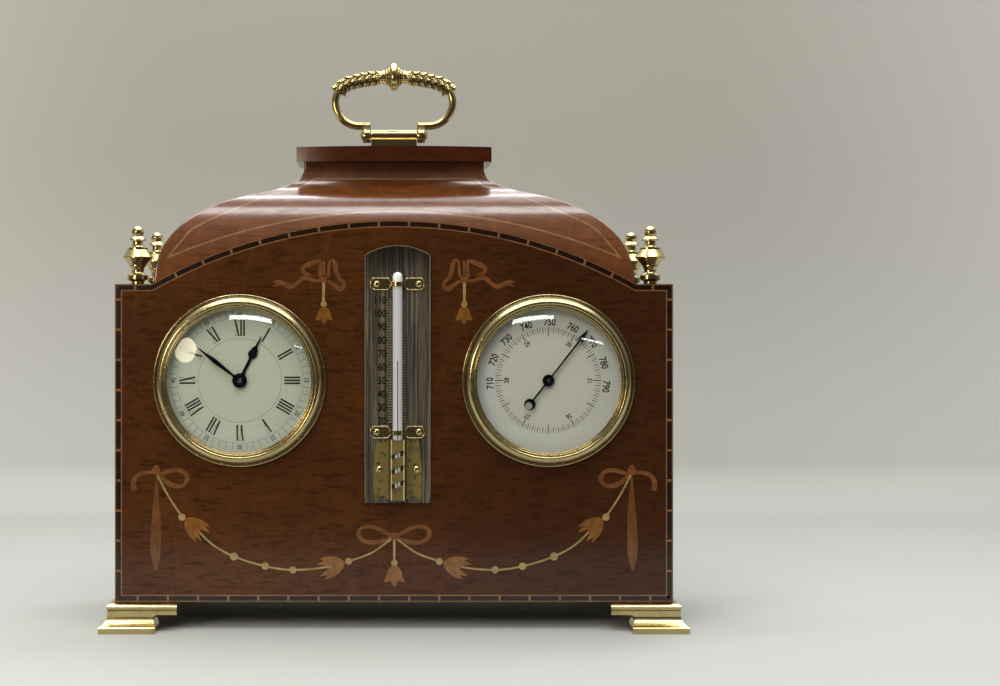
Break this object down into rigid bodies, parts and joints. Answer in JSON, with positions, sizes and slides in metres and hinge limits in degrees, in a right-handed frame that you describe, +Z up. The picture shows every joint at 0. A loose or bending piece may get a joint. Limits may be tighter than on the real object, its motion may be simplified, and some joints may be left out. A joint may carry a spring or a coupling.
{
  "type": "desk compendium",
  "caption": "Inlaid wooden desk case on bracket feet holding a clock, a thermometer and an aneroid barometer, with a caddy top, turned finials and a swinging handle.",
  "frame": {"origin": "middle of the footprint, on the surface that the feet stand on", "axes": "+X to the right as seen from the front, +Y to the back, +Z up"},
  "size_m": [0.2274, 0.088, 0.2261],
  "materials": {
    "mahogany": "French-polished mahogany with line and marquetry inlay",
    "mahogany_veneer": "French-polished mahogany veneer with boxwood stringing",
    "brass": "polished and lacquered brass",
    "works_brass": "plain brass",
    "steel": "bright steel",
    "capsule_tin": "tinned metal",
    "blued_steel": "blued steel",
    "silvered_dial": "silvered white dial",
    "enamel_dial": "cream dial",
    "dome_glass": "clear domed glass",
    "silvered_scale": "dark silvered brass, brushed upright",
    "tube_glass": "white-backed glass tube",
    "thermometer_liquid": "thermometer liquid"
  },
  "bodies": {
    "root": {"front_board": "mahogany", "back_board": "mahogany", "left_side": "mahogany", "right_side": "mahogany", "base_board": "mahogany", "top_board": "mahogany", "top_slab": "mahogany", "caddy_top": "mahogany_veneer", "foot_front_left": "brass", "foot_front_right": "brass", "foot_rear_left": "brass", "foot_rear_right": "brass", "finial_front_left": "brass", "finial_front_right": "brass", "finial_rear_left": "brass", "finial_rear_right": "brass", "handle_plate": "brass", "handle_pivots": "brass", "clock_bezel": "brass", "barometer_bezel": "brass", "tube_clips": "brass", "guard_plate": "brass", "bulb_guard": "brass", "thermometer_screws": "brass", "frame_hinges": "brass", "hinge_pins": "brass", "foot_screws": "brass", "clock_drum": "works_brass", "clock_back_cover": "works_brass", "movement_front_plate": "works_brass", "movement_back_plate": "works_brass", "movement_pillars": "works_brass", "barometer_drum": "works_brass", "barometer_bridge": "works_brass", "retaining_rings": "works_brass", "capsule_spring": "steel", "aneroid_capsule": "capsule_tin", "clock_dial": "silvered_dial", "barometer_dial": "enamel_dial", "clock_glass": "dome_glass", "barometer_glass": "dome_glass", "scale_plate": "silvered_scale", "thermometer_tube": "tube_glass", "thermometer_liquid": "thermometer_liquid"},
    "door": {"back_door": "mahogany", "door_hinges": "brass", "door_knob": "brass"},
    "bail": {"bail_handle": "brass"},
    "minute": {"centre_arbor": "steel", "cannon_pinion": "steel", "minute_hand": "blued_steel", "set_knob": "works_brass"},
    "motion": {"minute_wheel": "works_brass"},
    "hour": {"hour_wheel": "works_brass", "hour_hand": "blued_steel"},
    "barrel": {"spring_barrel": "works_brass"},
    "winding": {"winding_arbor": "steel", "winding_key": "works_brass"},
    "needle": {"needle_arbor": "steel", "barometer_needle": "blued_steel"}
  },
  "joints": [
    {"name": "door_swing", "type": "hinge", "parent": "root", "child": "door", "pos_m": [-0.088, 0.03755, 0.0728], "axis": [0, 0, 1], "range_deg": [0, 110]},
    {"name": "handle_swing", "type": "hinge", "parent": "root", "child": "bail", "pos_m": [0, 0, 0.19615], "axis": [1, 0, 0], "range_deg": [-88, 88]},
    {"name": "minute_turn", "type": "hinge", "parent": "root", "child": "minute", "pos_m": [-0.06, -0.036, 0.0971], "axis": [0, 1, 0], "continuous": true},
    {"name": "minute_wheel_turn", "type": "hinge", "parent": "root", "child": "motion", "pos_m": [-0.05168, -0.03, 0.0906], "axis": [0, 1, 0], "continuous": true},
    {"name": "hour_turn", "type": "hinge", "parent": "root", "child": "hour", "pos_m": [-0.06, -0.036, 0.0971], "axis": [0, 1, 0], "continuous": true},
    {"name": "barrel_turn", "type": "hinge", "parent": "root", "child": "barrel", "pos_m": [-0.06, -0.01, 0.08414], "axis": [0, 1, 0], "continuous": true},
    {"name": "winding_turn", "type": "hinge", "parent": "root", "child": "winding", "pos_m": [-0.06, -0.01, 0.08414], "axis": [0, 1, 0], "continuous": true},
    {"name": "needle_turn", "type": "hinge", "parent": "root", "child": "needle", "pos_m": [0.06, -0.036, 0.0971], "axis": [0, 1, 0], "range_deg": [-248, 52]}
  ],
  "couplings": [
    {"joint": "minute_wheel_turn", "follows": "minute_turn", "ratio": -0.33333},
    {"joint": "hour_turn", "follows": "minute_turn", "ratio": 0.083333},
    {"joint": "barrel_turn", "follows": "minute_turn", "ratio": -0.2}
  ]
}
